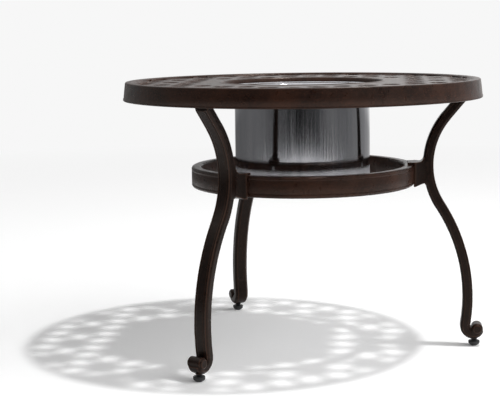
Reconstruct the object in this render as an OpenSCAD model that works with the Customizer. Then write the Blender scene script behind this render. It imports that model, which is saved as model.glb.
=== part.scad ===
// Round coffee table with a lift-out ice bucket in its top.
// Origin: on the floor, on the table's upright axis. +Z up. Millimetres.

/* [Table top] */
// Diameter across the lower edge of the rim
table_d = 750; // [700:1:820]
// Height of the raised border above the floor
table_h = 568; // [545:1:600]
// Depth of the rim, from the border down to its lower edge
rim_depth = 38; // [34:1:46]
// How much further out the rim's lower edge stands than its upper edge
rim_flare = 4.5; // [2:0.5:7]
// Wall of the rim
rim_wall = 5; // [4:0.5:7]
// Width of the plain border inside the rim
border_w = 15.5; // [12:0.5:20]
// Height of the border above the pierced field
border_rise = 4.5; // [2:0.5:6]
// Thickness of the pierced field
field_t = 7; // [5:0.5:9]

/* [Pierced pattern] */
// Distance between neighbouring openings
pitch = 54; // [50:1:62]
// Length of an opening, along the line between two rosettes
opening_l = 43; // [36:1:46]
// Width of an opening, across that line
opening_w = 35; // [28:0.5:38]
// Radius of an opening's two long sides
opening_side_r = 28; // [24:1:40]
// Plain band between the bucket recess and the first openings
inner_band = 47; // [40:1:60]

/* [Bucket seat] */
// Diameter of the recess round the bucket
recess_d = 336; // [328:1:344]
// Depth of the recess below the field
recess_depth = 11.5; // [9:0.5:14]
// Wall of the collar round the recess
collar_wall = 6; // [4:0.5:9]
// Height of the collar's bead above the field
collar_rise = 1.5; // [1:0.25:3]
// Clear opening inside the ledge that carries the bucket
ledge_d = 294; // [292:0.5:298]
// Thickness of the ledge
ledge_t = 4; // [3:0.5:6]

/* [Ice bucket] */
// Outer diameter of the bucket's wall
bucket_d = 284; // [260:1:285]
// Depth of the bucket, from the underside of its flange to its base
bucket_depth = 202; // [150:1:230]
// Thickness of the bucket's sheet
bucket_wall = 1.5; // [1:0.1:2]
// Radius of the bend at the foot of the wall
bucket_bend_r = 12; // [8:1:20]
// Radius of the bend between wall and flange
flange_bend_r = 4; // [3:0.5:5]
// Radius of the rolled edge of the flange
flange_bead_r = 2; // [1.6:0.1:3]
// Clearance between the flange and the wall of the recess
flange_gap = 3; // [1:0.5:5]

/* [Stretcher ring] */
// Outer diameter of the ring
ring_d = 470; // [440:1:490]
// Width of the ring's bar
ring_w = 21; // [14:1:26]
// Height of the ring's bar
ring_tall = 43; // [36:1:50]
// Height of the ring's underside above the floor
ring_h = 346; // [330:1:360]
// Corner radius of the ring's bar
ring_round = 5; // [2:0.5:7]
// Distance from the rounded corners to the groove near each edge of the ring's outer face
ring_groove_off = 3; // [2:0.5:5]
// Side of the square that cuts each groove, corner first
ring_groove = 1.4; // [0.8:0.2:2]

/* [Legs] */
// Width of a leg, across its face
leg_w = 32.5; // [28:0.5:38]
// Thickness of a leg, from its outer to its inner face
leg_t = 21.5; // [17:0.5:24]
// Width of the panel down the leg's outer face
panel_w = 17; // [12:0.5:18]
// Depth of the groove on each side of the panel
groove_d = 1.5; // [0.5:0.25:2]
// Chamfer beside the outer face, measured across the leg
outer_chamfer = 2.5; // [1.5:0.25:3.5]
// Depth of that chamfer down the leg's side
outer_chamfer_d = 5; // [2:0.5:6]
// Chamfer along the leg's inner edges
inner_chamfer = 5; // [2:0.5:6]
// Distance from the table's axis to the leg's centre line at its waist
waist_r = 264; // [258:0.5:270]
// Height of the waist
waist_h = 388; // [378:1:398]
// Distance from the table's axis to the leg's centre line at its lower bulge
bulge_r = 348; // [336:0.5:356]
// Height of the lower bulge
bulge_h = 104; // [92:1:120]
// Length of the straight stretch below the leg's head
leg_straight = 70; // [45:1:80]
// Distance from the rim's upper edge to the leg's centre line at its head
head_inset = 24.5; // [18:0.5:28]
// How far inside its centre line the leg is cut upright, below the plate on its head
head_cut = 5; // [2:0.5:9]

/* [Leg heads] */
// Half width of the plate on a leg's head
head_plate_half = 36; // [35:0.5:40]
// Reach of the plate along the table's radius
head_plate_reach = 42; // [38:1:50]
// Thickness of the plate
head_plate_t = 8; // [6:0.5:10]
// Clearance between the plate and the inside of the rim
head_gap = 3; // [1:0.5:5]
// Distance of each bolt from the leg's middle plane
head_bolt_off = 26; // [25:0.5:27]
// Distance of each bolt inside the rim's upper edge
head_bolt_inset = 14.5; // [13.5:0.5:16]
// Radius of the bosses under the border
boss_r = 9; // [7:0.5:9.5]
// Height of the bosses below the field
boss_drop = 8.5; // [6:0.5:10]

/* [Ring brackets] */
// Half width of the saddle that bears on the ring
saddle_half = 27.5; // [24:0.5:30]
// Thickness of the saddle at its two ends
saddle_t = 4.5; // [3:0.5:7]
// Radius of the hollow on each side of the bracket, from the saddle's end to the arm
flare_r = 30; // [24:1:40]
// How far the saddle reaches below the ring
saddle_drop = 3; // [1:0.5:6]
// Thickness of the lip that hooks over the ring
lip_t = 5.5; // [4:0.5:8]
// Half width of that lip
lip_half = 26; // [20:0.5:27]
// Reach of the lip over the ring
lip_reach = 13; // [9:0.5:15]
// How much the underside of the bracket's arm rises from the saddle to the leg
arm_rise = 7; // [0:0.5:10]
// Radius of the fillet above the arm, where it meets the leg
upper_fillet = 9; // [4:0.5:11]
// Radius of the fillet below the arm
lower_fillet = 4; // [2:0.5:6]
// Distance of each ring bolt above or below the middle of the ring
ring_bolt_off = 9; // [8.5:0.25:9.5]
// Depth of the ring bolts in the bracket
ring_bolt_grip = 13; // [9:0.5:15]

/* [Feet] */
// Radius of the leg's curl at the foot, on its centre line
curl_r = 17.5; // [16:0.5:20]
// Radius of the tighter turn at the end of the curl, on its centre line
tail_r = 11.8; // [11:0.2:13]
// Radius of the rolled end of the scroll
scroll_r = 12; // [10:0.5:13]
// Distance from the middle of the tail's turn outward to the middle of the rolled end
scroll_off = 7.8; // [6:0.2:9]
// Width of the rolled end
scroll_w = 36; // [34:0.5:40]
// Chamfer round each side of the rolled end
scroll_chamfer = 4; // [2:0.5:5]
// Distance from the middle of the curl outward to the glide
glide_off = 2; // [0:0.5:4]
// Radius of the boss that takes the glide
glide_boss_r = 7.5; // [7:0.25:9]
// Height of that boss below the scroll
glide_boss_drop = 0.5; // [0.25:0.25:1.5]
// Diameter of the glide's pad
pad_d = 24; // [20:0.5:30]
// Height of the pad
pad_h = 11.5; // [10:0.5:16]
// Diameter of the pad's flat foot
pad_flat_d = 10; // [8:0.5:16]
// Height of the spanner hexagon on the glide's stem
hex_h = 2.8; // [2:0.2:5]
// Width of that hexagon across its flats
hex_af = 10; // [9.5:0.5:12]
// Diameter of the stem's thread
stem_d = 8; // [6:1:8]
// Thickness of the insert's collar
collar_t = 1; // [0.6:0.2:2]
// Length of the threaded insert in the foot
insert_l = 15; // [12:0.5:17]
// Outer diameter of the threaded insert
insert_d = 11; // [10.5:0.5:12]

/* [Hidden] */

$fn = 96;
fine_fn = 180;
leg_step = 120;
thread_gap = 0.05;
pad_gap = 0.2;
seat_gap = 0.1;
well_gap = 0.4;
through = 1;

// finishes
bronze = [0.21, 0.165, 0.15];
steel = [0.78, 0.78, 0.80];
zinc = [0.62, 0.62, 0.60];
black_zinc = [0.08, 0.08, 0.085];
nylon = [0.06, 0.06, 0.06];

// table top: radii and levels
rim_out_r = table_d / 2;
rim_top_r = rim_out_r - rim_flare;
rim_low_z = table_h - rim_depth;
rim_edge_r = 3;
rim_bead_h = 5;
rim_bead_rise = 1;
field_top = table_h - border_rise;
field_low = field_top - field_t;
border_in_r = rim_top_r - border_w;
recess_r = recess_d / 2;
ledge_r = ledge_d / 2;
ledge_top = field_top - recess_depth;
ledge_low = ledge_top - ledge_t;
collar_out_r = recess_r + collar_wall;
band_r = recess_r + inner_band;

// M8 bolts of the leg heads
bolt_r = 4;
bolt_hole_r = 4.5;
bolt_l = 20;
bolt_head_af = 13;
bolt_head_h = 5.3;
washer_r = 8;
washer_hole_r = 4.2;
washer_t = 1.6;
tap_depth = 14;
plate_top = field_low - boss_drop;
plate_low = plate_top - head_plate_t;
head_bolt_r = rim_top_r - head_bolt_inset;

// inside of the rim at a height
function rim_in_r(z) = rim_out_r - rim_wall - rim_flare * (z - rim_low_z) / rim_depth;
plate_out_r = rim_in_r(plate_low) - head_gap;

// M6 bolts of the ring
ring_bolt_r = 3;
ring_bolt_hole_r = 3.3;
ring_bolt_head_r = 5.5;
ring_bolt_head_h = 3.3;
ring_washer_r = 6.5;
ring_washer_t = 1.2;
ring_spot = 1.2;
ring_spot_r = ring_washer_r + 0.5;

// stretcher ring
ring_out_r = ring_d / 2;
ring_in_r = ring_out_r - ring_w;
ring_top = ring_h + ring_tall;
ring_mid = ring_h + ring_tall / 2;
ring_spot_x = ring_in_r + ring_spot;

// ring brackets: levels of the arm, and radii of the lip's edge and of the saddle's ends
arm_low = ring_h - saddle_drop;
arm_top = ring_top + lip_t;
lip_in_r = ring_out_r - lip_reach;
saddle_x = sqrt(ring_out_r ^ 2 - saddle_half ^ 2) + saddle_t;

// foot: levels from the floor up
hex_low = pad_h + pad_gap;
insert_low = hex_low + hex_h;
boss_low = insert_low + collar_t;
foot_h = boss_low + glide_boss_drop;
stem_core_low = 4;
stem_core_h = 3;
stem_core_r = stem_d / 2 + 2.5;
stem_top = boss_low + insert_l + 0.5;
stem_well = 2;

// leg centre line, in the leg's own upright plane: [distance from axis, height]
// waist arc, turning round waist_c outside the leg
head_pt = [rim_top_r - head_inset, plate_top - head_plate_t / 2];
head_dr = head_pt.x - waist_r;
head_dz = head_pt.y - waist_h;
waist_arc_r = (head_dr ^ 2 + head_dz ^ 2 - leg_straight ^ 2) / (2 * head_dr);
waist_c = [waist_r + waist_arc_r, waist_h];
head_a = atan2(head_dz, head_dr - waist_arc_r) + atan2(leg_straight, waist_arc_r);
head_lean = 180 - head_a;
// bulge arc, turning round bulge_c inside the leg and touching the waist arc
bulge_dx = waist_c.x - bulge_r;
bulge_dz = waist_c.y - bulge_h;
bulge_arc_r = (bulge_dx ^ 2 + bulge_dz ^ 2 - waist_arc_r ^ 2) / (2 * (waist_arc_r - bulge_dx));
bulge_c = [bulge_r - bulge_arc_r, bulge_h];
turn_a = atan2(waist_c.y - bulge_c.y, waist_c.x - bulge_c.x);
// curl of the foot, turning round curl_c and touching the bulge arc
curl_z = foot_h + curl_r + leg_t / 2;
curl_c = [bulge_c.x + sqrt((bulge_arc_r + curl_r) ^ 2 - (curl_z - bulge_c.y) ^ 2), curl_z];
curl_a = atan2(curl_z - bulge_c.y, curl_c.x - bulge_c.x);
// tighter tail of the curl, touching it at its lowest point, and the rolled end in its arm
tail_c = [curl_c.x, curl_c.y - curl_r + tail_r];
tail_end_a = 345;
scroll_c = [tail_c.x + scroll_off, tail_c.y];
glide_r = curl_c.x + glide_off;

// where two stretches meet, one runs a short way into the other and is slimmer by a hair
slim = 0.2;
lap = 4;
foot_lap = 1.2;
bulge_lap_a = lap / bulge_arc_r * 180 / PI;
curl_lap_a = foot_lap / curl_r * 180 / PI;
tail_lap_a = foot_lap / tail_r * 180 / PI;

// distance of the centre line from the axis at a height near the waist
function leg_r_at(z) = waist_c.x - sqrt(waist_arc_r ^ 2 - (z - waist_h) ^ 2);

// points along an arc
function arc_pts(c, r, a0, a1, n) =
    [for (i = [0:n]) c + r * [cos(a0 + (a1 - a0) * i / n), sin(a0 + (a1 - a0) * i / n)]];

module at_leg(k) {
    rotate([0, 0, leg_step * (k - 1)]) children();
}

module both_sides(off) {
    for (s = [-1, 1]) translate([0, s * off, 0]) children();
}

module ring_bolt_axes() {
    for (s = [-1, 1]) translate([0, 0, ring_mid + s * ring_bolt_off]) rotate([0, 90, 0]) children();
}

// ---- table top ----

// cross-section of the top: rim, border, field, collar and ledge
module top_section() {
    rim_in_low = rim_out_r - rim_wall;
    polygon(concat(
        [[rim_in_low, rim_low_z]],
        [[rim_out_r - rim_bead_rise, rim_low_z]],
        [[rim_out_r, rim_low_z + rim_bead_rise]],
        [[rim_out_r, rim_low_z + rim_bead_h - rim_bead_rise]],
        [[rim_out_r - rim_bead_rise, rim_low_z + rim_bead_h]],
        arc_pts([rim_top_r - rim_edge_r, table_h - rim_edge_r], rim_edge_r, 0, 90, 5),
        arc_pts([border_in_r + border_rise, table_h - border_rise], border_rise, 90, 180, 5),
        [[collar_out_r + collar_rise, field_top]],
        arc_pts([recess_r + collar_rise * 2, field_top], collar_rise, 60, 120, 3),
        [[recess_r, field_top - collar_rise]],
        [[recess_r, ledge_top]],
        [[ledge_r + ledge_t / 4, ledge_top]],
        [[ledge_r, ledge_top - ledge_t / 4]],
        [[ledge_r, ledge_low]],
        [[collar_out_r - 1, ledge_low]],
        [[collar_out_r, ledge_low + 1]],
        [[collar_out_r, field_low]],
        [[rim_in_r(field_low), field_low]]));
}

// one opening of the pattern: a petal with rounded tips, long side along X
module opening_shape() {
    side_off = opening_side_r - opening_w / 2;
    intersection() {
        translate([0, -side_off]) circle(opening_side_r);
        translate([0, side_off]) circle(opening_side_r);
        circle(d = opening_l);
    }
}

// lattice sites: every second one in each direction is a solid rosette
function site(i, j) = pitch * (i * [0, 1] + j * [cos(30), sin(30)]);
function is_rosette(i, j) = i % 2 == 0 && j % 2 == 0;
function toward_rosette(i, j) = i % 2 == 0 ? 30 : (j % 2 == 0 ? 90 : 150);

module pierced_pattern() {
    reach = ceil(border_in_r / (pitch * cos(30)));
    for (i = [-reach:reach], j = [-reach:reach]) {
        p = site(i, j);
        if (!is_rosette(i, j) && norm(p) <= border_in_r && norm(p) - opening_w / 2 >= band_r)
            translate(p) rotate(toward_rosette(i, j)) opening_shape();
    }
}

module table_top() {
    color(bronze) difference() {
        union() {
            rotate_extrude($fn = fine_fn) top_section();
            for (k = [1:3]) at_leg(k) both_sides(head_bolt_off)
                translate([head_bolt_r, 0, plate_top]) cylinder(r = boss_r, h = field_low - plate_top + through);
        }
        translate([0, 0, field_low - through]) linear_extrude(field_t + 2 * through) intersection() {
            pierced_pattern();
            circle(border_in_r, $fn = fine_fn);
        }
        for (k = [1:3]) at_leg(k) both_sides(head_bolt_off)
            translate([head_bolt_r, 0, plate_top - through])
                cylinder(r = bolt_r + thread_gap, h = tap_depth + through);
    }
}

// ---- ice bucket ----

module bucket_section() {
    out_r = bucket_d / 2;
    base_z = ledge_top - bucket_depth;
    flange_top = ledge_top + bucket_wall;
    flange_r = recess_r - flange_gap - flange_bead_r;
    bend_c = [out_r - bucket_bend_r, base_z + bucket_bend_r];
    flange_c = [out_r + flange_bend_r, ledge_top - flange_bend_r];
    polygon(concat(
        [[0, base_z]],
        arc_pts(bend_c, bucket_bend_r, 270, 360, 6),
        arc_pts(flange_c, flange_bend_r, 180, 90, 4),
        [[flange_r, ledge_top]],
        [[flange_r, flange_top]],
        arc_pts(flange_c, flange_bend_r + bucket_wall, 90, 180, 4),
        arc_pts(bend_c, bucket_bend_r - bucket_wall, 360, 270, 6),
        [[0, base_z + bucket_wall]]));
    translate([flange_r, ledge_top + flange_bead_r]) circle(flange_bead_r, $fn = 24);
}

module ice_bucket() {
    color(steel) rotate_extrude($fn = fine_fn) bucket_section();
}

// ---- stretcher ring ----

module rounded_bar(w, h, r) {
    translate([r, 0]) square([w - 2 * r, h]);
    translate([0, r]) square([w, h - 2 * r]);
    for (x = [r, w - r], y = [r, h - r]) translate([x, y]) circle(r, $fn = 24);
}

// cross-section of the ring, with a groove near each edge of its outer face
module ring_section() {
    groove_z = ring_round + ring_groove_off;
    difference() {
        rounded_bar(ring_w, ring_tall, ring_round);
        for (z = [groove_z, ring_tall - groove_z])
            translate([ring_w, z]) rotate(45) square(ring_groove, center = true);
    }
}

module stretcher_ring() {
    color(bronze) difference() {
        rotate_extrude($fn = fine_fn) translate([ring_in_r, ring_h]) ring_section();
        for (k = [1:3]) at_leg(k) ring_bolt_axes() {
            cylinder(r = ring_bolt_hole_r, h = ring_out_r + through);
            cylinder(r = ring_spot_r, h = ring_spot_x);
        }
    }
}

// ---- legs ----

// cross-section of a leg: X from inner to outer face, Y across. s is how much slimmer it is
module leg_section(s = 0) {
    hw = leg_w / 2 - s;
    ht = leg_t / 2 - s;
    hp = panel_w / 2;
    half = [
        [ht, hp],
        [ht - groove_d, hp + groove_d],
        [ht, hp + 2 * groove_d],
        [ht, hw - outer_chamfer],
        [ht - outer_chamfer_d, hw],
        [-ht + inner_chamfer, hw],
        [-ht, hw - inner_chamfer]];
    last = len(half) - 1;
    polygon(concat(half, [for (i = [last:-1:0]) [half[i].x, -half[i].y]]));
}

// stretch of the leg that turns round a centre in its own plane.
// face = 1 where the outer face looks away from the centre, -1 where it looks at it
module leg_arc(c, r, a0, a1, face, s = 0) {
    translate([c.x, 0, c.y]) rotate([90, 0, 0]) rotate([0, 0, a0])
        rotate_extrude(angle = a1 - a0, $fn = fine_fn) translate([r, 0]) scale([face, 1]) leg_section(s);
}

module leg_head() {
    start = waist_c + waist_arc_r * [cos(head_a), sin(head_a)];
    intersection() {
        translate([start.x, 0, start.y]) rotate([0, head_lean, 0]) translate([0, 0, -lap])
            linear_extrude(leg_straight + 2 * leg_t + lap) leg_section(slim);
        translate([0, -leg_w, waist_h]) cube([head_pt.x - head_cut, 2 * leg_w, head_pt.y - waist_h]);
    }
    intersection() {
        translate([plate_out_r - head_plate_reach, -head_plate_half, plate_low])
            cube([head_plate_reach + through, 2 * head_plate_half, head_plate_t]);
        cylinder(r = plate_out_r, h = table_h, $fn = fine_fn);
    }
}

// bracket, seen in the leg's plane: arm from the saddle to the leg, with its fillets
module bracket_profile() {
    root_low = arm_low + arm_rise;
    leg_up = leg_r_at(arm_top) - leg_t / 2;
    leg_down = leg_r_at(root_low) - leg_t / 2;
    polygon([
        [lip_in_r, arm_low],
        [saddle_x, arm_low],
        [leg_down, root_low],
        [leg_down + leg_t / 2, root_low],
        [leg_up + leg_t / 2, arm_top],
        [lip_in_r, arm_top]]);
    difference() {
        translate([leg_up - upper_fillet, arm_top - through])
            square([upper_fillet + leg_t / 2, upper_fillet + through]);
        translate([leg_up - upper_fillet, arm_top + upper_fillet]) circle(upper_fillet);
    }
    difference() {
        translate([leg_down - lower_fillet, root_low - lower_fillet])
            square([lower_fillet + leg_t / 2, lower_fillet + through]);
        translate([leg_down - lower_fillet, root_low - lower_fillet]) circle(lower_fillet);
    }
}

// bracket, seen from above: as wide as the saddle at the ring, hollowed to the arm at the leg
module bracket_plan() {
    arm_half = leg_w / 2 - 3 * slim;
    flare = saddle_half - arm_half;
    flare_x = saddle_x + sqrt(flare * (2 * flare_r - flare));
    difference() {
        translate([lip_in_r, -saddle_half]) square([flare_x - through - lip_in_r, 2 * saddle_half]);
        for (s = [-1, 1]) translate([flare_x, s * (arm_half + flare_r)]) circle(flare_r, $fn = fine_fn);
    }
    translate([lip_in_r, slim - arm_half]) square([waist_r + leg_t - lip_in_r, 2 * (arm_half - slim)]);
}

module bracket() {
    difference() {
        intersection() {
            translate([0, saddle_half + through, 0]) rotate([90, 0, 0])
                linear_extrude(2 * (saddle_half + through)) bracket_profile();
            translate([0, 0, arm_low - arm_rise]) linear_extrude(table_h - arm_low) bracket_plan();
        }
        cylinder(r = ring_out_r, h = table_h, $fn = fine_fn);
    }
    intersection() {
        translate([0, -lip_half, ring_top]) cube([ring_out_r + through, 2 * lip_half, lip_t - slim]);
        difference() {
            cylinder(r = ring_out_r + through, h = table_h, $fn = fine_fn);
            translate([0, 0, -through]) cylinder(r = lip_in_r, h = table_h + 2 * through, $fn = fine_fn);
        }
    }
}

// rolled end of the scroll, lying across the leg
module scroll_end() {
    half = scroll_w / 2;
    c = scroll_chamfer;
    translate([scroll_c.x, 0, scroll_c.y]) rotate([90, 0, 0]) rotate_extrude()
        polygon([[0, -half], [scroll_r - c, -half], [scroll_r, -half + c],
            [scroll_r, half - c], [scroll_r - c, half], [0, half]]);
}

module leg() {
    color(bronze) difference() {
        union() {
            leg_head();
            leg_arc(waist_c, waist_arc_r, head_a, 180 + turn_a, -1);
            leg_arc(bulge_c, bulge_arc_r, curl_a, turn_a + bulge_lap_a, 1, slim);
            leg_arc(curl_c, curl_r, 180 + curl_a - curl_lap_a, 270, -1, 2 * slim);
            leg_arc(tail_c, tail_r, 270 - tail_lap_a, tail_end_a, -1, 3 * slim);
            scroll_end();
            bracket();
            translate([glide_r, 0, boss_low]) cylinder(r = glide_boss_r, h = leg_t / 2);
        }
        both_sides(head_bolt_off)
            translate([head_bolt_r, 0, plate_low - through]) cylinder(r = bolt_hole_r, h = head_plate_t + 2 * through);
        ring_bolt_axes() cylinder(r = ring_bolt_r + thread_gap, h = ring_out_r + ring_bolt_grip + through);
        translate([glide_r, 0, boss_low - through]) cylinder(r = insert_d / 2, h = insert_l + through);
        translate([glide_r, 0, boss_low]) cylinder(r = stem_d / 2 + well_gap, h = insert_l + stem_well);
    }
}

// ---- fasteners ----

module leg_bolts() {
    head_top = plate_low - washer_t;
    color(zinc) both_sides(head_bolt_off) translate([head_bolt_r, 0, head_top]) {
        translate([0, 0, -bolt_head_h]) cylinder(d = bolt_head_af / cos(30), h = bolt_head_h, $fn = 6);
        cylinder(r = bolt_r, h = bolt_l);
    }
}

module leg_washers() {
    color(zinc) both_sides(head_bolt_off) translate([head_bolt_r, 0, plate_low - washer_t]) difference() {
        cylinder(r = washer_r, h = washer_t);
        translate([0, 0, -through]) cylinder(r = washer_hole_r, h = washer_t + 2 * through);
    }
}

module ring_bolts() {
    seat_x = ring_spot_x - ring_washer_t;
    color(zinc) ring_bolt_axes() translate([0, 0, seat_x]) {
        translate([0, 0, -ring_bolt_head_h]) cylinder(r = ring_bolt_head_r, h = ring_bolt_head_h);
        cylinder(r = ring_bolt_r, h = ring_out_r + ring_bolt_grip - seat_x);
    }
}

module ring_washers() {
    seat_x = ring_spot_x - ring_washer_t;
    color(zinc) ring_bolt_axes() translate([0, 0, seat_x]) difference() {
        cylinder(r = ring_washer_r, h = ring_washer_t);
        translate([0, 0, -through]) cylinder(r = ring_bolt_hole_r, h = ring_washer_t + 2 * through);
    }
}

// ---- glides ----

module foot_insert() {
    color(black_zinc) translate([glide_r, 0, 0]) difference() {
        union() {
            translate([0, 0, insert_low]) cylinder(r = glide_boss_r - 1, h = collar_t);
            translate([0, 0, boss_low]) cylinder(d = insert_d, h = insert_l);
        }
        translate([0, 0, insert_low - through])
            cylinder(r = stem_d / 2 + thread_gap, h = collar_t + insert_l + 2 * through);
    }
}

module glide_stem() {
    color(black_zinc) translate([glide_r, 0, 0]) {
        translate([0, 0, stem_core_low]) cylinder(r = stem_core_r, h = stem_core_h);
        translate([0, 0, stem_core_low]) cylinder(d = stem_d, h = stem_top - stem_core_low);
        translate([0, 0, hex_low]) cylinder(d = hex_af / cos(30), h = hex_h, $fn = 6);
    }
}

module glide_pad() {
    foot_r = pad_flat_d / 2;
    side_r = pad_d / 2;
    edge_r = 2;
    widest_z = pad_h * 0.65;
    belly = side_r - foot_r;
    flank_n = 6;
    color(nylon) translate([glide_r, 0, 0]) difference() {
        rotate_extrude() polygon(concat(
            [[0, 0]],
            [for (i = [0:flank_n]) let (t = i / flank_n) [foot_r + belly * t * (2 - t), widest_z * t]],
            arc_pts([side_r - edge_r, pad_h - edge_r], edge_r, 0, 90, 4),
            [[0, pad_h]]));
        translate([0, 0, stem_core_low]) cylinder(r = stem_core_r + seat_gap, h = stem_core_h + seat_gap);
        translate([0, 0, stem_core_low]) cylinder(r = stem_d / 2 + seat_gap, h = pad_h);
    }
}

table_top();
stretcher_ring();
ice_bucket();
at_leg(1) leg();  // leg_1
at_leg(2) leg();  // leg_2
at_leg(3) leg();  // leg_3
at_leg(1) leg_bolts();  // leg_bolts_1
at_leg(2) leg_bolts();  // leg_bolts_2
at_leg(3) leg_bolts();  // leg_bolts_3
at_leg(1) leg_washers();  // leg_washers_1
at_leg(2) leg_washers();  // leg_washers_2
at_leg(3) leg_washers();  // leg_washers_3
at_leg(1) ring_bolts();  // ring_bolts_1
at_leg(2) ring_bolts();  // ring_bolts_2
at_leg(3) ring_bolts();  // ring_bolts_3
at_leg(1) ring_washers();  // ring_washers_1
at_leg(2) ring_washers();  // ring_washers_2
at_leg(3) ring_washers();  // ring_washers_3
at_leg(1) foot_insert();  // foot_insert_1
at_leg(2) foot_insert();  // foot_insert_2
at_leg(3) foot_insert();  // foot_insert_3
at_leg(1) glide_stem();  // glide_stem_1
at_leg(2) glide_stem();  // glide_stem_2
at_leg(3) glide_stem();  // glide_stem_3
at_leg(1) glide_pad();  // glide_pad_1
at_leg(2) glide_pad();  // glide_pad_2
at_leg(3) glide_pad();  // glide_pad_3
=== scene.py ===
import math

import bmesh
import bpy
from mathutils import Matrix, Vector


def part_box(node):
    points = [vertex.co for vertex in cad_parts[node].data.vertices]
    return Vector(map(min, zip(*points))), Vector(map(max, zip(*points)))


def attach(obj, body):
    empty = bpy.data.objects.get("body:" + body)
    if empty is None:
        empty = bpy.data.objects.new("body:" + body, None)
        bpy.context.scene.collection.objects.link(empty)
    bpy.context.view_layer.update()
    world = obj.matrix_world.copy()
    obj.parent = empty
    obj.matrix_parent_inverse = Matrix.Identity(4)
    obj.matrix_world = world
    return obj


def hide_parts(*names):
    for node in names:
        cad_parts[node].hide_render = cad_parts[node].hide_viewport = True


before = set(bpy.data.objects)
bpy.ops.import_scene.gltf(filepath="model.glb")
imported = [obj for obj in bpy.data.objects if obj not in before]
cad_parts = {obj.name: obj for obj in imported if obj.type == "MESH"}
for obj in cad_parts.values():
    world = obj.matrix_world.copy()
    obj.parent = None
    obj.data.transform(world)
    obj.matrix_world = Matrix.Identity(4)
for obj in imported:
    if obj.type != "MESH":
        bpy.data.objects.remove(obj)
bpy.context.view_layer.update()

# ---- sizes, in metres ----

MM = 0.001
LEGS = (1, 2, 3)
LEG_STEP = math.radians(120)

# low and high corners of the solids; a leg's own pieces are made at leg 1 and turned to the others
top_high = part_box("table_top")[1]
bucket_low, bucket_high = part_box("ice_bucket")
foot_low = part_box("leg_1")[0]
head_bolts_low, head_bolts_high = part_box("leg_bolts_1")
ring_bolts_low, ring_bolts_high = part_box("ring_bolts_1")
insert_low, insert_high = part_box("foot_insert_1")
stem_low, stem_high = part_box("glide_stem_1")
pad_low, pad_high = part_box("glide_pad_1")

# castings
BORDER_RISE = 4.5 * MM  # of the border above the pierced field
TOP_EASE = 2.4 * MM
RING_EASE = 0.4 * MM
SKIN_GRAIN = 1.0 * MM
SKIN_PASSES = 2
WELD = 0.01 * MM
FLAT_TURN = 0.4  # degrees between two triangles of one flat face, at most
LEVEL = 0.9999  # a face is level from this Z of its normal on, up or down
field_z = top_high.z - BORDER_RISE

# bucket, drawn from sheet
BUCKET_R = 142 * MM
SHEET = 1.5 * MM
BASE_BEND = 12 * MM
FLANGE_BEND = 4 * MM
LEDGE_Z = 552 * MM
BEAD_R = 2 * MM
DULL_Z = 384 * MM  # top of the duller band round the base, where it starts to fade
DULL_FADE = 9 * MM
DULL_ROUGH = 0.4

# turned work and hexagons
SEAM = 0.001 * MM
NUDGE = 0.1 * MM  # keeps the bounds of a test clear of the points that it takes in
HEX_CROWN = 0.46  # radius of a hexagon's round end, as a share of its width across flats
HEX_SHOULDER = 0.965  # radius on the bulge of a head's chamfer, as a share of the corner's

# hexagon bolts and washers of the leg heads, their heads down
BOLT_AF = 13 * MM
BOLT_HEAD_H = 5.3 * MM
BOLT_CHAMFER = (0, 0.5 * MM, 0.75 * MM, 1.1 * MM)  # heights of the chamfer's points
BOLT_FACE_R = 0.47 * BOLT_AF
BOLT_FACE_H = 0.2 * MM
BOLT_R = 4 * MM
BOLT_LAP = 0.5 * MM
BOLT_POINT = 0.9 * MM
WASHER_R = 8 * MM
WASHER_HOLE_R = 4.2 * MM
WASHER_T = 1.6 * MM
WASHER_EASE = 0.25 * MM
bolt_l = head_bolts_high.z - head_bolts_low.z
bolt_x = (head_bolts_low.x + head_bolts_high.x) / 2
bolt_y = head_bolts_high.y - BOLT_AF / 2

# button bolts and washers of the ring, their heads on its inside
BUTTON_R = 5.5 * MM
BUTTON_H = 3.3 * MM
BUTTON_DOME_R = 5.6 * MM
BUTTON_DOME = (-52, -24)  # degrees of the dome's arc
BUTTON_EDGE_R = 0.2 * MM
BUTTON_EDGE_H = 0.3 * MM
SOCKET_AF = 4 * MM
SOCKET_DEPTH = 1.9 * MM
SOCKET_CONE = 0.4 * MM
SOCKET_MOUTH = 0.25 * MM
SOCKET_BEVEL = 0.3 * MM
SOCKET_LAND = 0.9 * MM
SOCKET_LAND_DROP = 0.05 * MM
RING_BOLT_R = 3 * MM
RING_BOLT_POINT = 0.7 * MM
RING_WASHER_R = 6.5 * MM
RING_WASHER_HOLE_R = 3.3 * MM
RING_WASHER_T = 1.2 * MM
OUTWARD = Matrix.Rotation(math.pi / 2, 4, "Y")
ring_bolt_l = ring_bolts_high.x - ring_bolts_low.x
ring_bolt_z = (ring_bolts_low.z + BUTTON_R, ring_bolts_high.z - BUTTON_R)

# glides: insert, stem and pad
INSERT_R = 5.5 * MM
INSERT_LEAD = 0.5 * MM
COLLAR_R = 6.5 * MM
COLLAR_EASE = 0.3 * MM
STEM_HOLE_R = 4.05 * MM
STEM_R = 4 * MM
STEM_CORE_R = 3.35 * MM
STEM_POINT = 0.8 * MM
STEM_LAP = 0.3 * MM
STEM_AF = 10 * MM
STEM_HEX_H = 2.8 * MM
STEM_CHAMFER = (0, 0.2 * MM, 0.45 * MM)  # heights of the chamfer's points, from either end
FLANGE_R = 6.5 * MM
FLANGE_TOP = 7 * MM
THREAD_PITCH = 1.25 * MM
THREAD_STEPS = 32
THREAD_LAP = 0.2 * MM
THREAD_ROOT_R = STEM_CORE_R - 0.1 * MM
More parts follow.
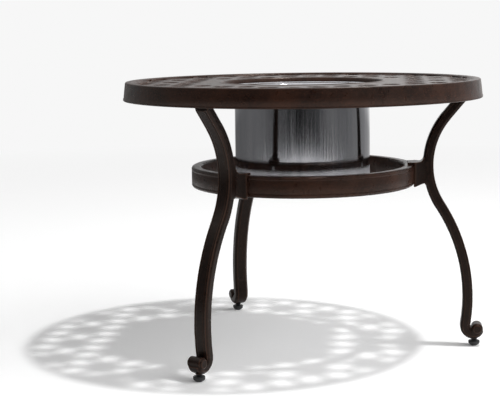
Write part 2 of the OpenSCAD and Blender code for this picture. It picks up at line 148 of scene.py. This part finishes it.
# a tooth's outline: radius, and height as a share of the pitch
THREAD_TOOTH = ((THREAD_ROOT_R, 0), (STEM_R, 0.40), (STEM_R, 0.52), (THREAD_ROOT_R, 0.92))
PAD_R = 12 * MM
PAD_FLAT_R = 5 * MM
PAD_WIDEST = 0.65  # height of the belly, as a share of the pad's
PAD_STEPS = 12
PAD_EASE = 2 * MM
PAD_LEAD = 0.4 * MM
POCKET_Z = 3.95 * MM
POCKET_GAP = 0.1 * MM
glide_x = (pad_low.x + pad_high.x) / 2
stem_hex_top = insert_low.z
stem_hex_low = stem_hex_top - STEM_HEX_H

# ---- room, lights and camera ----

WHITE = (1, 1, 1, 1)
BLACK = (0, 0, 0, 1)

ROOM_SIDES = 96
FLOOR_R = 9.0
FLOOR_NEAR = 1.4  # between here and FLOOR_FAR the floor runs into the white of the sky
FLOOR_FAR = 4.6
FLOOR_ROUGH = 0.9
FLOOR_PAINT = (0.97, 0.97, 0.97, 1)
FLOOR_BOUNCE = (0.45, 0.45, 0.45, 1)  # the floor's colour for the light that it throws back
NEAR_LIFT = 0.08
LAMP_SIZE = 0.27
LAMP_PLACE = Vector((1.281, -0.178, 4.505))
LAMP_POWER = 110
FILL = 0.14
SIDE_FILL = 3.5
SIDE_PLACE = Vector((0.97, -0.24, 0.0))
SIDE_START = 0.2  # about the cosine of the angle from SIDE_PLACE where the side fill sets in
SKY_SEEN = 0.93
WALL_R = 2.2
WALL_H = 1.5
WALL_DIM = 0.47  # share of the wall's brightness below WALL_DIM_LOW; it is full from WALL_DIM_HIGH up
WALL_DIM_LOW = 0.24
WALL_DIM_HIGH = 0.35
# grey of the room round the table, by degrees to the right of the camera's side
WALL_GREYS = (
    (-180, 1.0), (-165, 0.6), (-150, 0.26), (-77, 0.32), (-4, 0.02), (20, 0.06), (48, 0.26),
    (75, 0.30), (101, 0.36), (120, 0.46), (149, 0.72), (165, 1.0), (180, 1.0))

CAMERA_PLACE = Vector((0.1892, -2.6728, 0.6831))
CAMERA_TURN = math.radians(6.459)
CAMERA_DIP = math.radians(8.157)
CAMERA_ROLL = math.radians(-0.797)
FRAME_W = 500  # width of the view in pixels, which the focal length is given in too
FOCAL_PX = 1269.4
SENSOR = 36.0
CLIP_NEAR = 0.05


# ---- shader nodes ----

# stretches of a value over which a finish changes
NOISE_SPAN = (0.3, 0.7)  # nearly all of a noise's values
PATCH_SPAN = (0.35, 0.65)
# the next span paints outer edges lighter (rub-through wear and painted highlight); the one after paints
# hollows near black (painted shade)
EDGE_RUB_AND_HIGHLIGHT_SPAN = (0.505, 0.57)  # pointiness is 0.5 on a flat, more on an outer edge, less in a hollow
HOLLOW_SHADE_SPAN = (0.495, 0.44)
WARM_FLECK_SPAN = (0.74, 0.82)  # only the brightest cells show as flecks
GREY_FLECK_SPAN = (0.86, 0.92)


def srgb(r, g, b):
    """Colour of a paint chip, given 0 to 255, as the shaders take it."""
    def linear(shade):
        shade = shade / 255
        return shade / 12.92 if shade <= 0.04045 else ((shade + 0.055) / 1.055) ** 2.4
    return (linear(r), linear(g), linear(b), 1)


class Nodes:
    """A node tree, and the few kinds of node that the sky and the finishes share."""

    def __init__(self, tree):
        self.tree = tree
        self.coordinates = tree.nodes.new("ShaderNodeTexCoord").outputs

    def feed(self, socket, value):
        """Links a node's output to a socket, or sets the socket to a number or a colour."""
        if isinstance(value, bpy.types.NodeSocket):
            self.tree.links.new(value, socket)
        else:
            socket.default_value = value

    def combine(self, way, *values, kind="ShaderNodeMath"):
        """One number out of several, or out of vectors with the vector kind of node."""
        node = self.tree.nodes.new(kind)
        node.operation = way
        for socket, value in zip(node.inputs, values):
            self.feed(socket, value)
        return node.outputs["Value"]

    def axes(self, place):
        """The three coordinates of a place."""
        apart = self.tree.nodes.new("ShaderNodeSeparateXYZ")
        self.feed(apart.inputs[0], place)
        return apart.outputs["X"], apart.outputs["Y"], apart.outputs["Z"]

    def spread(self, value, low, high, start=0.0, end=1.0, way="LINEAR"):
        """Maps a value from start..end onto low..high."""
        span = self.tree.nodes.new("ShaderNodeMapRange")
        span.interpolation_type = way
        self.feed(span.inputs["Value"], value)
        self.feed(span.inputs["From Min"], start)
        self.feed(span.inputs["From Max"], end)
        self.feed(span.inputs["To Min"], low)
        self.feed(span.inputs["To Max"], high)
        return span.outputs["Result"]

    def seen(self):
        """1 where a ray comes from the camera, a reflection or a clear piece, otherwise 0."""
        path = self.tree.nodes.new("ShaderNodeLightPath").outputs
        either = self.combine("MAXIMUM", path["Is Camera Ray"], path["Is Glossy Ray"])
        return self.combine("MAXIMUM", either, path["Is Transmission Ray"])


class Finish(Nodes):
    """A material with its shader, and the noises, flecks, blends and bumps that finishes use."""

    def __init__(self, name):
        self.material = bpy.data.materials.new(name)
        self.material.use_nodes = True
        super().__init__(self.material.node_tree)
        self.shader = self.tree.nodes["Principled BSDF"]
        self.place = self.coordinates["Object"]

    def set(self, **values):
        """Feeds the shader's sockets, named with an underscore for each space."""
        for socket, value in values.items():
            self.feed(self.shader.inputs[socket.replace("_", " ")], value)

    def noise(self, size, detail=2.0, tall=1.0):
        """Soft noise whose lumps are about `size` metres across, and `tall` times that high."""
        stretch = self.tree.nodes.new("ShaderNodeMapping")
        stretch.inputs["Scale"].default_value = (1, 1, 1 / tall)
        self.feed(stretch.inputs["Vector"], self.place)
        noise = self.tree.nodes.new("ShaderNodeTexNoise")
        noise.inputs["Scale"].default_value = 1 / size
        noise.inputs["Detail"].default_value = detail
        self.feed(noise.inputs["Vector"], stretch.outputs["Vector"])
        return noise.outputs["Fac"]

    def flecks(self, size):
        """A random colour for each cell of about `size` metres; a number's socket takes its brightness."""
        cells = self.tree.nodes.new("ShaderNodeTexVoronoi")
        cells.inputs["Scale"].default_value = 1 / size
        self.feed(cells.inputs["Vector"], self.place)
        return cells.outputs["Color"]

    def ramp(self, value, *stops):
        """Colours by value: each stop is (place, colour)."""
        ramp = self.tree.nodes.new("ShaderNodeValToRGB")
        marks = ramp.color_ramp.elements
        while len(marks) < len(stops):
            marks.new(1.0)
        for mark, (place, colour) in zip(marks, stops):
            mark.position = place
            mark.color = colour
        self.feed(ramp.inputs["Fac"], value)
        return ramp.outputs["Color"]

    def shades(self, noise, low, high):
        """Two colours run into each other by a noise."""
        return self.ramp(noise, *zip(NOISE_SPAN, (low, high)))

    def mix(self, amount, a, b):
        """Blends colour b over colour a; each is a colour or a node's output."""
        mix = self.tree.nodes.new("ShaderNodeMix")
        mix.data_type = "RGBA"
        self.feed(mix.inputs["Factor"], amount)
        self.feed(mix.inputs[6], a)
        self.feed(mix.inputs[7], b)
        return mix.outputs[2]

    def bump(self, *layers):
        """Adds bumps one over another: each layer is (height, depth in metres)."""
        under = None
        for height, depth in layers:
            bump = self.tree.nodes.new("ShaderNodeBump")
            bump.inputs["Strength"].default_value = 1.0
            bump.inputs["Distance"].default_value = depth
            self.feed(bump.inputs["Height"], height)
            if under:
                self.feed(bump.inputs["Normal"], under)
            under = bump.outputs["Normal"]
        self.set(Normal=under)


# ---- finishes ----

def rub_through_and_painted_light(finish, ground):
    """Deeper brown overall, with painted light from the pointiness: outer edges lighter, partly rub-through
    wear and partly painted highlight, and hollows near black as painted shade.
    """
    deep = srgb(10, 6, 5)
    # colour of the lighter outer edges: rub-through wear and painted highlight
    rubbed_with_painted_light = srgb(104, 74, 60)
    # near black of the hollows: painted shade
    painted_hollow_shade = srgb(12, 8, 7)
    shape = finish.tree.nodes.new("ShaderNodeNewGeometry").outputs["Pointiness"]
    ground = finish.mix(0.85, ground, deep)
    # outer edges painted lighter: partly rub-through wear, partly painted highlight
    ground = finish.mix(finish.spread(shape, 0, 0.85, *EDGE_RUB_AND_HIGHLIGHT_SPAN), ground, rubbed_with_painted_light)
    # hollows painted near black: painted shade
    return finish.mix(finish.spread(shape, 0, 0.8, *HOLLOW_SHADE_SPAN), ground, painted_hollow_shade)


def bronze_powder_coat(name, rubbed_with_painted_light=False):
    """Satin dark bronze powder with a fine fleck, over the soft waves of a casting."""
    finish = Finish(name)
    brown = srgb(46, 27, 19)
    dark = srgb(27, 15, 11)
    warm = srgb(92, 56, 42)
    grey = srgb(100, 86, 77)
    patches = finish.spread(finish.noise(50 * MM, detail=4), 0, 1, *PATCH_SPAN)
    ground = finish.mix(patches, brown, dark)
    fleck_show = 1.0
    specular = 0.27
    if rubbed_with_painted_light:
        # adds outer edges painted lighter (rub-through wear and painted highlight) and hollows painted near
        # black (painted shade)
        ground = rub_through_and_painted_light(finish, ground)
        fleck_show = 0.4
        specular = 0.2
    warm_flecks = finish.spread(finish.flecks(0.9 * MM), 0, 0.42 * fleck_show, *WARM_FLECK_SPAN)
    grey_flecks = finish.spread(finish.flecks(0.7 * MM), 0, 0.2 * fleck_show, *GREY_FLECK_SPAN)
    finish.set(
        Base_Color=finish.mix(grey_flecks, finish.mix(warm_flecks, ground, warm), grey),
        Roughness=finish.spread(finish.noise(12 * MM), 0.26, 0.38, *NOISE_SPAN),
        Specular_IOR_Level=specular, Specular_Tint=(1.0, 0.84, 0.75, 1))
    waves = finish.noise(20 * MM, detail=1)
    grain = finish.noise(1.4 * MM, detail=1)
    finish.bump((waves, 0.3 * MM), (grain, 0.05 * MM))
    return finish.material


def polished_stainless():
    """Bucket sheet polished up and down the wall, with faint drawing lines and a duller base."""
    finish = Finish("polished stainless")
    wide = finish.noise(20 * MM, detail=3, tall=50)
    fine = finish.noise(1.5 * MM, tall=100)
    height = finish.axes(finish.place)[2]
    dull = finish.spread(height, 1, 0, DULL_Z, DULL_Z + DULL_FADE)
    buffed = finish.spread(fine, 0.05, 0.12, *NOISE_SPAN)
    finish.set(
        Base_Color=finish.shades(wide, srgb(190, 191, 196), srgb(214, 214, 218)),
        Roughness=finish.combine("MULTIPLY_ADD", dull, DULL_ROUGH, buffed), Metallic=1.0)
    finish.bump((wide, 0.2 * MM))
    return finish.material


def plated_steel(name, cloud_size, low, high, smooth, rough):
    """Plated fastener, a little cloudy in colour and gloss."""
    finish = Finish(name)
    cloud = finish.noise(cloud_size, detail=3)
    finish.set(
        Base_Color=finish.shades(cloud, low, high),
        Roughness=finish.spread(cloud, smooth, rough, *NOISE_SPAN), Metallic=1.0)
    finish.bump((finish.noise(0.6 * MM), 0.02 * MM))
    return finish.material


def zinc_plate():
    return plated_steel("zinc plate", 6 * MM, srgb(150, 150, 146), srgb(186, 188, 186), 0.28, 0.46)


def black_zinc_plate():
    return plated_steel("black zinc plate", 5 * MM, srgb(38, 38, 40), srgb(58, 58, 60), 0.30, 0.48)


def black_nylon():
    finish = Finish("black nylon")
    grain = finish.noise(0.9 * MM)
    finish.set(
        Base_Color=finish.shades(finish.noise(10 * MM), srgb(20, 20, 21), srgb(31, 31, 32)),
        Roughness=finish.spread(grain, 0.42, 0.6, *NOISE_SPAN))
    finish.bump((grain, 0.06 * MM))
    return finish.material


# ---- making the room ----

def make_camera():
    lens = bpy.data.cameras.new("camera")
    lens.sensor_width = SENSOR
    lens.lens = FOCAL_PX / FRAME_W * SENSOR
    lens.clip_start = CLIP_NEAR
    camera = bpy.data.objects.new("camera", lens)
    camera.matrix_world = (
        Matrix.Translation(CAMERA_PLACE)
        @ Matrix.Rotation(CAMERA_TURN, 4, "Z")
        @ Matrix.Rotation(math.pi / 2 - CAMERA_DIP, 4, "X")
        @ Matrix.Rotation(CAMERA_ROLL, 4, "Z"))
    bpy.context.collection.objects.link(camera)
    bpy.context.scene.camera = camera


def make_lamp():
    """Small round lamp high on the right, which throws the pattern of the top on the floor."""
    light = bpy.data.lights.new("key lamp", "AREA")
    light.shape = "DISK"
    light.size = LAMP_SIZE
    light.energy = LAMP_POWER
    lamp = bpy.data.objects.new("key lamp", light)
    lamp.location = LAMP_PLACE
    lamp.rotation_euler = (-LAMP_PLACE).to_track_quat("-Z", "Y").to_euler()
    bpy.context.collection.objects.link(lamp)


def make_sky():
    """Near white where it is seen; for everything else a soft fill, stronger from the right."""
    world = bpy.data.worlds.new("studio")
    world.use_nodes = True
    sky = Nodes(world.node_tree)
    toward = sky.coordinates["Generated"]
    side = sky.combine("DOT_PRODUCT", toward, SIDE_PLACE, kind="ShaderNodeVectorMath")
    fill = sky.spread(side, FILL, SIDE_FILL, start=SIDE_START, way="SMOOTHSTEP")
    background = world.node_tree.nodes["Background"].inputs
    sky.feed(background["Strength"], sky.spread(sky.seen(), fill, SKY_SEEN))
    sky.feed(background["Color"], WHITE)
    bpy.context.scene.world = world
    bpy.context.scene.view_settings.view_transform = "Standard"


def stage_piece(name, bm, material):
    """A piece of the room, which isn't part of the object."""
    mesh = bpy.data.meshes.new(name)
    bm.to_mesh(mesh)
    bm.free()
    mesh.materials.append(material)
    piece = bpy.data.objects.new(name, mesh)
    bpy.context.collection.objects.link(piece)
    return piece


def make_floor():
    """Pale floor that takes the shadow, and runs into the white of the room far behind."""
    paint = Finish("pale floor")
    reach = paint.combine("LENGTH", paint.place, kind="ShaderNodeVectorMath")
    far = paint.spread(reach, 0, 1, FLOOR_NEAR, FLOOR_FAR)
    in_view = paint.seen()
    near_paint = paint.mix(in_view, FLOOR_BOUNCE, FLOOR_PAINT)
    lift = paint.spread(far, NEAR_LIFT, SKY_SEEN)
    paint.set(
        Base_Color=paint.mix(far, near_paint, BLACK), Roughness=FLOOR_ROUGH, Specular_IOR_Level=0.0,
        Emission_Color=WHITE, Emission_Strength=paint.combine("MULTIPLY", lift, in_view))
    bm = bmesh.new()
    bmesh.ops.create_circle(bm, cap_ends=True, segments=ROOM_SIDES, radius=FLOOR_R)
    stage_piece("floor", bm, paint.material)


def make_wall():
    """Grey room, darkest on the camera's side, which only the gloss of the pieces shows."""
    paint = Finish("room wall")
    x, y, z = paint.axes(paint.place)
    bearing = paint.combine("ARCTAN2", x, paint.combine("MULTIPLY", y, -1))
    turn = paint.spread(bearing, 0, 1, -math.pi, math.pi)
    stops = (((degrees + 180) / 360, (grey, grey, grey, 1)) for degrees, grey in WALL_GREYS)
    paint.set(
        Base_Color=BLACK, Specular_IOR_Level=0.0, Emission_Color=paint.ramp(turn, *stops),
        Emission_Strength=paint.spread(z, WALL_DIM, 1.0, WALL_DIM_LOW, WALL_DIM_HIGH))
    bm = bmesh.new()
    bmesh.ops.create_circle(bm, cap_ends=False, segments=ROOM_SIDES, radius=WALL_R)
    up = bmesh.ops.extrude_edge_only(bm, edges=bm.edges[:])
    raised = [part for part in up["geom"] if isinstance(part, bmesh.types.BMVert)]
    bmesh.ops.translate(bm, verts=raised, vec=(0, 0, WALL_H))
    wall = stage_piece("room wall", bm, paint.material)
    wall.visible_camera = False
    wall.visible_diffuse = False
    wall.visible_shadow = False
    wall.visible_transmission = False


# ---- making shapes ----

def merged_copy(node):
    """The solid of a node, its loose triangles joined up and its flat faces whole again."""
    bm = bmesh.new()
    bm.from_mesh(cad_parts[node].data)
    bmesh.ops.remove_doubles(bm, verts=bm.verts, dist=WELD)
    bmesh.ops.dissolve_limit(
        bm, angle_limit=math.radians(FLAT_TURN), verts=bm.verts, edges=bm.edges,
        use_dissolve_boundaries=False)
    return bm


def soften(bm, width, least=50, above=0.0, steps=2):
    """Rounds over the edges above a height that turn by more than `least` degrees."""
    keen = [
        edge for edge in bm.edges
        if edge.calc_face_angle(0) > math.radians(least) and min(v.co.z for v in edge.verts) > above]
    bmesh.ops.bevel(
        bm, geom=keen, offset=width, offset_type="OFFSET", affect="EDGES", segments=steps, profile=0.5,
        material=-1, clamp_overlap=False)


def turned(outline, sides=96, ring=False):
    """Round work about Z, spun from (radius, height) points; a ring's outline closes on itself."""
    bm = bmesh.new()
    points = [bm.verts.new((r, 0, z)) for r, z in outline]
    lines = [bm.edges.new(pair) for pair in zip(points, points[1:])]
    if ring:
        lines.append(bm.edges.new((points[-1], points[0])))
    bmesh.ops.spin(
        bm, geom=points + lines, cent=(0, 0, 0), axis=(0, 0, 1), angle=math.tau, steps=sides, use_merge=True)
    bmesh.ops.remove_doubles(bm, verts=bm.verts, dist=SEAM)
    bmesh.ops.recalc_face_normals(bm, faces=bm.faces)
    return bm


def bend(centre, radius, start, end, steps):
    """Points along an arc of an outline, its angles in degrees."""
    turns = [math.radians(start + (end - start) * i / steps) for i in range(steps + 1)]
    return [(centre[0] + radius * math.cos(a), centre[1] + radius * math.sin(a)) for a in turns]


def corner_radius(flats):
    """How far a hexagon's corners are from its middle, by its width across flats."""
    return flats / 2 / math.cos(math.radians(30))


def cut_hexagon(bm, flats, low, high, within=1.0):
    """Pulls turned work in to six flats, between two heights and inside a radius."""
    for vert in bm.verts:
        reach = math.hypot(vert.co.x, vert.co.y)
        if not (low <= vert.co.z <= high and 0 < reach < within):
            continue
        turn = math.atan2(vert.co.y, vert.co.x) % math.radians(60) - math.radians(30)
        room = flats / 2 / math.cos(turn)
        if reach > room:
            vert.co.x *= room / reach
            vert.co.y *= room / reach


def joined(*parts):
    """Several bmeshes as one, which takes their place."""
    whole = bmesh.new()
    for part in parts:
        mesh = bpy.data.meshes.new("part")
        part.to_mesh(mesh)
        part.free()
        whole.from_mesh(mesh)
        bpy.data.meshes.remove(mesh)
    return whole


def placed(bm, *moves):
    """The bmesh moved by each matrix in turn."""
    for move in moves:
        bmesh.ops.transform(bm, matrix=move, verts=bm.verts)
    return bm


def at_leg(k):
    return Matrix.Rotation(LEG_STEP * (k - 1), 4, "Z")


def shift(x=0.0, y=0.0, z=0.0):
    return Matrix.Translation((x, y, z))


def new_piece(name, bm, material, body, slot, *nodes, crease=30, flat_levels=False):
    """A finished piece in place of CAD nodes, smooth but for edges sharper than `crease` degrees."""
    mesh = bpy.data.meshes.new(name)
    bm.to_mesh(mesh)
    bm.free()
    mesh.shade_smooth()
    mesh.set_sharp_from_angle(angle=math.radians(crease))
    if flat_levels:
        for face in mesh.polygons:
            face.use_smooth = abs(face.normal.z) < LEVEL
    mesh.materials.clear()
    mesh.materials.append(material)
    piece = bpy.data.objects.new(name, mesh)
    bpy.context.collection.objects.link(piece)
    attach(piece, body)
    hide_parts(*nodes)
    return piece


# ---- pieces of the table ----

def cast_top():
    """The top, the edges of its upper side rounded over: openings, border and recess."""
    top = merged_copy("table_top")
    soften(top, TOP_EASE, above=field_z - NUDGE, steps=3)
    return top


def cast_ring():
    """The stretcher ring, its edges just eased."""
    ring = merged_copy("stretcher_ring")
    soften(ring, RING_EASE, least=40)
    return ring


def cast_skin(node):
    """A leg as it leaves the sand: its edges rounded and its joins filleted by a fine skin."""
    rough = bpy.data.meshes.new("rough")
    bm = merged_copy(node)
    bm.to_mesh(rough)
    bm.free()
    piece = bpy.data.objects.new("rough", rough)
    bpy.context.collection.objects.link(piece)
    skin = piece.modifiers.new("skin", "REMESH")
    skin.mode = "VOXEL"
    skin.voxel_size = SKIN_GRAIN
    ready = piece.evaluated_get(bpy.context.evaluated_depsgraph_get())
    bm = bmesh.new()
    bm.from_mesh(ready.to_mesh())
    ready.to_mesh_clear()
    bpy.data.objects.remove(piece)
    bpy.data.meshes.remove(rough)
    for _ in range(SKIN_PASSES):
        bmesh.ops.smooth_vert(
            bm, verts=bm.verts, factor=0.5, use_axis_x=True, use_axis_y=True, use_axis_z=True)
    return bm


def bucket_shell():
    """Drawn bucket: rounded base, straight wall, flat flange and a rolled bead round its edge."""
    base_z = bucket_low.z
    base = (BUCKET_R - BASE_BEND, base_z + BASE_BEND)
    neck = (BUCKET_R + FLANGE_BEND, LEDGE_Z - FLANGE_BEND)
    bead = (bucket_high.x - BEAD_R, LEDGE_Z + BEAD_R)
    outside = [(0, base_z)] + bend(base, BASE_BEND, 270, 360, 10) + bend(neck, FLANGE_BEND, 180, 90, 6)
    inside = (
        bend(neck, FLANGE_BEND + SHEET, 90, 180, 6) + bend(base, BASE_BEND - SHEET, 360, 270, 8)
        + [(0, base_z + SHEET)])
    return turned(outside + bend(bead, BEAD_R, 270, 495, 14) + inside, sides=192)


def hex_bolt():
    """Hexagon bolt, head down: chamfered corners, washer face, shank with a pointed end."""
    corner = corner_radius(BOLT_AF)
    chamfer_r = (BOLT_AF * HEX_CROWN, BOLT_AF / 2, corner * HEX_SHOULDER, corner)
    head = turned(
        [(0, 0), *zip(chamfer_r, BOLT_CHAMFER), (corner, BOLT_HEAD_H - 2 * BOLT_FACE_H),
         (BOLT_FACE_R, BOLT_HEAD_H - BOLT_FACE_H), (BOLT_FACE_R, BOLT_HEAD_H), (0, BOLT_HEAD_H)])
    cut_hexagon(head, BOLT_AF, BOLT_CHAMFER[1] - NUDGE, BOLT_HEAD_H - BOLT_FACE_H - NUDGE)
    root = BOLT_HEAD_H - BOLT_LAP
    shank = turned(
        [(0, root), (BOLT_R, root), (BOLT_R, bolt_l - BOLT_POINT), (BOLT_R - BOLT_POINT, bolt_l),
         (0, bolt_l)], sides=48)
    return joined(head, shank)


def button_bolt():
    """Low round head with a hexagon socket, head down, and its shank."""
    key = corner_radius(SOCKET_AF)
    socket = [(0, SOCKET_DEPTH + SOCKET_CONE), (key, SOCKET_DEPTH), (key, SOCKET_MOUTH)]
    land = [(key + SOCKET_BEVEL, 0), (key + SOCKET_LAND, SOCKET_LAND_DROP)]
    dome = bend((0, BUTTON_DOME_R), BUTTON_DOME_R, *BUTTON_DOME, 5)
    edge = [(BUTTON_R, BUTTON_H - BUTTON_EDGE_H), (BUTTON_R - BUTTON_EDGE_R, BUTTON_H)]
    shank = [
        (RING_BOLT_R, BUTTON_H), (RING_BOLT_R, ring_bolt_l - RING_BOLT_POINT),
        (RING_BOLT_R - RING_BOLT_POINT, ring_bolt_l), (0, ring_bolt_l)]
    work = turned(socket + land + dome + edge + shank, sides=48)
    cut_hexagon(work, SOCKET_AF, NUDGE, SOCKET_DEPTH + NUDGE, within=key + NUDGE)
    return work


def flat_washer(out_r, hole_r, thick):
    """Pressed washer, its outer edges eased."""
    return turned(
        [(hole_r, 0), (out_r - WASHER_EASE, 0), (out_r, WASHER_EASE), (out_r, thick - WASHER_EASE),
         (out_r - WASHER_EASE, thick), (hole_r, thick)], sides=64, ring=True)


def head_bolts():
    """The two bolts up through a leg's head plate."""
    return joined(*(placed(hex_bolt(), shift(bolt_x, y, head_bolts_low.z)) for y in (-bolt_y, bolt_y)))


def head_washers():
    """The washers on them, against the head plate."""
    washer_z = head_bolts_low.z + BOLT_HEAD_H
    return joined(*(
        placed(flat_washer(WASHER_R, WASHER_HOLE_R, WASHER_T), shift(bolt_x, y, washer_z))
        for y in (-bolt_y, bolt_y)))


def ring_bolts():
    """The two bolts out through the ring into a leg's bracket."""
    return joined(*(placed(button_bolt(), OUTWARD, shift(ring_bolts_low.x, 0, z)) for z in ring_bolt_z))


def ring_washers():
    """The washers on them, against the inside of the ring."""
    washer_x = ring_bolts_low.x + BUTTON_H
    return joined(*(
        placed(flat_washer(RING_WASHER_R, RING_WASHER_HOLE_R, RING_WASHER_T), OUTWARD, shift(washer_x, 0, z))
        for z in ring_bolt_z))


def foot_insert():
    """Threaded insert pressed in the foot, its collar under the boss."""
    low = insert_low.z
    top = insert_high.z
    boss = foot_low.z
    return turned(
        [(STEM_HOLE_R + INSERT_LEAD, low), (COLLAR_R - COLLAR_EASE, low), (COLLAR_R, low + COLLAR_EASE),
         (COLLAR_R, boss), (INSERT_R, boss), (INSERT_R, top - INSERT_LEAD), (INSERT_R - INSERT_LEAD, top),
         (STEM_HOLE_R, top), (STEM_HOLE_R, low + INSERT_LEAD)], sides=64, ring=True)


def thread_ridge(low, high):
    """One tooth swept up round the stem, from one height to another."""
    bm = bmesh.new()
    face = bm.faces.new([bm.verts.new((r, 0, low + THREAD_PITCH * share)) for r, share in THREAD_TOOTH])
    turns = (high - low) / THREAD_PITCH - 1
    steps = round(turns * THREAD_STEPS)
    bmesh.ops.spin(
        bm, geom=face.verts[:] + face.edges[:] + [face], cent=(0, 0, 0), axis=(0, 0, 1),
        dvec=(0, 0, THREAD_PITCH / THREAD_STEPS), angle=math.tau * steps / THREAD_STEPS, steps=steps,
        use_merge=False)
    bmesh.ops.remove_doubles(bm, verts=bm.verts, dist=SEAM)
    bmesh.ops.recalc_face_normals(bm, faces=bm.faces)
    return bm


def stem_hexagon():
    """Spanner hexagon of the stem, its corners chamfered at both ends."""
    chamfer = list(zip((STEM_AF * HEX_CROWN, STEM_AF / 2, corner_radius(STEM_AF)), STEM_CHAMFER))
    nut = turned(
        [(0, stem_hex_low)] + [(r, stem_hex_low + z) for r, z in chamfer]
        + [(r, stem_hex_top - z) for r, z in reversed(chamfer)] + [(0, stem_hex_top)])
    cut_hexagon(nut, STEM_AF, stem_hex_low + NUDGE, stem_hex_top - NUDGE)
    return nut


def glide_stem():
    """Levelling stem: flange caught in the pad, spanner hexagon, and a cut thread."""
    low = stem_low.z
    top = stem_high.z
    core = turned(
        [(0, low), (FLANGE_R, low), (FLANGE_R, FLANGE_TOP), (STEM_R, FLANGE_TOP),
         (STEM_R, stem_hex_low + STEM_LAP), (STEM_CORE_R, stem_hex_top - STEM_LAP),
         (STEM_CORE_R, top - STEM_POINT), (STEM_CORE_R - STEM_POINT, top), (0, top)], sides=48)
    thread = thread_ridge(stem_hex_top - THREAD_LAP, top - STEM_POINT / 2)
    return joined(core, stem_hexagon(), thread)


def glide_pad():
    """Moulded pad: small flat foot, full belly, soft top edge, and the pocket for the stem's flange."""
    top = pad_high.z
    flank = [
        (PAD_FLAT_R + (PAD_R - PAD_FLAT_R) * t * (2 - t), PAD_WIDEST * top * t)
        for t in (i / PAD_STEPS for i in range(PAD_STEPS + 1))]
    mouth_r = STEM_R + POCKET_GAP
    pocket_r = FLANGE_R + POCKET_GAP
    pocket_top = FLANGE_TOP + POCKET_GAP
    pocket = [
        (mouth_r + PAD_LEAD, top), (mouth_r, top - PAD_LEAD), (mouth_r, pocket_top), (pocket_r, pocket_top),
        (pocket_r, POCKET_Z), (0, POCKET_Z)]
    shoulder = bend((PAD_R - PAD_EASE, top - PAD_EASE), PAD_EASE, 0, 90, 6)
    return turned([(0, 0)] + flank + shoulder + pocket)


# ---- the scene ----

make_camera()
make_lamp()
make_sky()
make_floor()
make_wall()

powder = bronze_powder_coat("bronze powder coat")
# the legs' finish, with outer edges painted lighter (rub-through wear and painted highlight) and hollows
# painted near black (painted shade)
leg_powder_with_painted_light = bronze_powder_coat("rubbed bronze powder coat", rubbed_with_painted_light=True)
stainless = polished_stainless()
zinc = zinc_plate()
black_zinc = black_zinc_plate()
nylon = black_nylon()

node_finishes = {
    "table_top": powder, "stretcher_ring": powder, "leg": powder, "ice_bucket": stainless,
    "leg_bolts": zinc, "leg_washers": zinc, "ring_bolts": zinc, "ring_washers": zinc,
    "foot_insert": black_zinc, "glide_stem": black_zinc, "glide_pad": nylon}
for node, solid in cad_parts.items():
    kind = node.rstrip("0123456789").rstrip("_")
    solid.data.materials.clear()
    solid.data.materials.append(node_finishes[kind])

new_piece("cast_top", cast_top(), powder, "frame", "bronze_casting", "table_top", crease=40, flat_levels=True)
new_piece(
    "cast_ring", cast_ring(), powder, "frame", "bronze_casting", "stretcher_ring", crease=40,
    flat_levels=True)
new_piece("drawn_bucket", bucket_shell(), stainless, "bucket", "polished_steel", "ice_bucket", crease=40)

foot = shift(x=glide_x)
leg_shape = cast_skin("leg_1")
bolts = head_bolts()
washers = head_washers()
buttons = ring_bolts()
shims = ring_washers()
insert = placed(foot_insert(), foot)
stem = placed(glide_stem(), foot)
pad = placed(glide_pad(), foot)
for k in LEGS:
    # name, shape, finish, body, slot, node, crease
    leg_pieces = (
        ("cast_leg", leg_shape, leg_powder_with_painted_light, "frame", "bronze_casting", "leg", 60),
        ("hex_bolts", bolts, zinc, "frame", "zinc_steel", "leg_bolts", 30),
        ("head_washers", washers, zinc, "frame", "zinc_steel", "leg_washers", 30),
        ("button_bolts", buttons, zinc, "frame", "zinc_steel", "ring_bolts", 30),
        ("ring_shims", shims, zinc, "frame", "zinc_steel", "ring_washers", 30),
        ("threaded_insert", insert, black_zinc, "frame", "black_zinc", "foot_insert", 30),
        ("levelling_stem", stem, black_zinc, f"stem_{k}", "black_zinc", "glide_stem", 30),
        ("moulded_pad", pad, nylon, f"pad_{k}", "black_nylon", "glide_pad", 45))
    for name, shape, finish, body, slot, node, crease in leg_pieces:
        new_piece(
            f"{name}_{k}", placed(shape.copy(), at_leg(k)), finish, body, slot, f"{node}_{k}", crease=crease)
